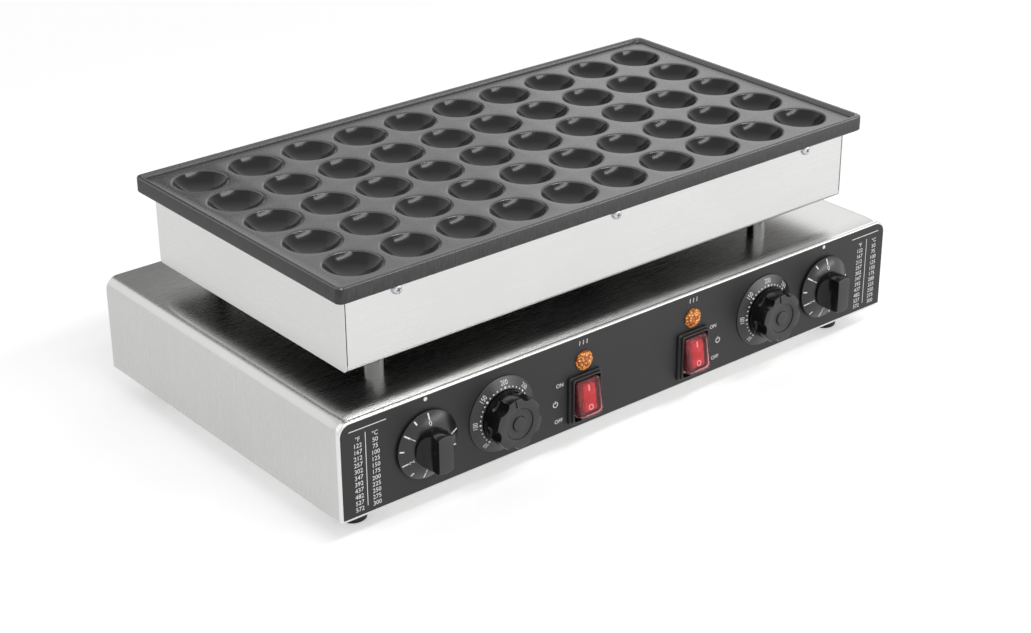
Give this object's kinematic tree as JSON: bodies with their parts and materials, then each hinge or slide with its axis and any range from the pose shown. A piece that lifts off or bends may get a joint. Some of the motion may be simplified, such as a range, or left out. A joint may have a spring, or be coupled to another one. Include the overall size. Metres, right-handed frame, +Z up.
{
  "type": "poffertjes maker",
  "caption": "Table-top poffertjes maker: a coated plate of small hollows on a steel housing, held on posts above a base with timers, thermostats, lit switches and lamps.",
  "frame": {"origin": "on the floor, below the middle of the whole box that the knobs and the gland reach to", "axes": "+X to the right seen from the controls, +Y from the controls to the back, +Z up"},
  "size_m": [0.526, 0.3364, 0.18],
  "materials": {
    "stainless_sheet": "satin",
    "zinc_steel": "satin",
    "black_film": "satin",
    "black_rubber": "matte",
    "coated_casting": "satin",
    "mineral_board": "matte",
    "heater_sheath": "satin",
    "copper_capillary": "satin",
    "case_resin": "matte",
    "knob_black": "satin",
    "switch_black": "satin",
    "rocker_red": "gloss",
    "clear_boot": "clear",
    "amber_lens": "clear",
    "earth_brass": "satin",
    "loom_sleeve": "matte"
  },
  "bodies": {
    "base": {"back_panel": "stainless_sheet", "back_screws": "zinc_steel", "baking_plate": "coated_casting", "base_shell": "stainless_sheet", "bottom_plate": "stainless_sheet", "bottom_screws": "zinc_steel", "cable_gland": "switch_black", "clamp_bars": "zinc_steel", "clamp_nuts": "zinc_steel", "clamp_studs": "zinc_steel", "control_nuts": "zinc_steel", "control_overlay": "black_film", "earth_nut": "earth_brass", "earth_stud": "earth_brass", "element_left": "heater_sheath", "element_right": "heater_sheath", "foot_nuts": "zinc_steel", "foot_screws": "zinc_steel", "front_panel": "stainless_sheet", "gland_nut": "switch_black", "housing_end_left": "stainless_sheet", "housing_end_right": "stainless_sheet", "housing_tray": "stainless_sheet", "insulation_board": "mineral_board", "lamp_body_left": "case_resin", "lamp_body_right": "case_resin", "lamp_lens_left": "amber_lens", "lamp_lens_right": "amber_lens", "lamp_nuts": "case_resin", "mains_loom": "loom_sleeve", "plate_screws": "zinc_steel", "post_nuts": "zinc_steel", "rubber_feet": "black_rubber", "sensor_left": "copper_capillary", "sensor_right": "copper_capillary", "support_posts": "stainless_sheet", "switch_body_left": "switch_black", "switch_body_right": "switch_black", "terminal_block": "case_resin", "thermostat_bezel_left": "knob_black", "thermostat_bezel_right": "knob_black", "thermostat_body_left": "case_resin", "thermostat_body_right": "case_resin", "timer_body_left": "case_resin", "timer_body_right": "case_resin", "zone_loom_left": "loom_sleeve", "zone_loom_right": "loom_sleeve"},
    "timer_left": {"timer_shaft_left": "zinc_steel", "timer_knob_left": "knob_black"},
    "thermostat_left": {"thermostat_shaft_left": "zinc_steel", "thermostat_knob_left": "knob_black"},
    "switch_left": {"rocker_left": "rocker_red", "rocker_boot_left": "clear_boot"},
    "timer_right": {"timer_shaft_right": "zinc_steel", "timer_knob_right": "knob_black"},
    "thermostat_right": {"thermostat_shaft_right": "zinc_steel", "thermostat_knob_right": "knob_black"},
    "switch_right": {"rocker_right": "rocker_red", "rocker_boot_right": "clear_boot"}
  },
  "joints": [
    {"name": "timer_turn_left", "type": "hinge", "parent": "base", "child": "timer_left", "pos_m": [-0.193, -0.15075, 0.0565], "axis": [0, 1, 0], "range_deg": [0, 280]},
    {"name": "thermostat_turn_left", "type": "hinge", "parent": "base", "child": "thermostat_left", "pos_m": [-0.128, -0.15075, 0.0565], "axis": [0, 1, 0], "range_deg": [-150, 107]},
    {"name": "switch_rock_left", "type": "hinge", "parent": "base", "child": "switch_left", "pos_m": [-0.053, -0.14475, 0.04475], "axis": [1, 0, 0], "range_deg": [0, 21]},
    {"name": "timer_turn_right", "type": "hinge", "parent": "base", "child": "timer_right", "pos_m": [0.193, -0.15075, 0.0565], "axis": [0, 1, 0], "range_deg": [0, 280]},
    {"name": "thermostat_turn_right", "type": "hinge", "parent": "base", "child": "thermostat_right", "pos_m": [0.128, -0.15075, 0.0565], "axis": [0, 1, 0], "range_deg": [-150, 107]},
    {"name": "switch_rock_right", "type": "hinge", "parent": "base", "child": "switch_right", "pos_m": [0.053, -0.14475, 0.04475], "axis": [1, 0, 0], "range_deg": [0, 21]}
  ]
}
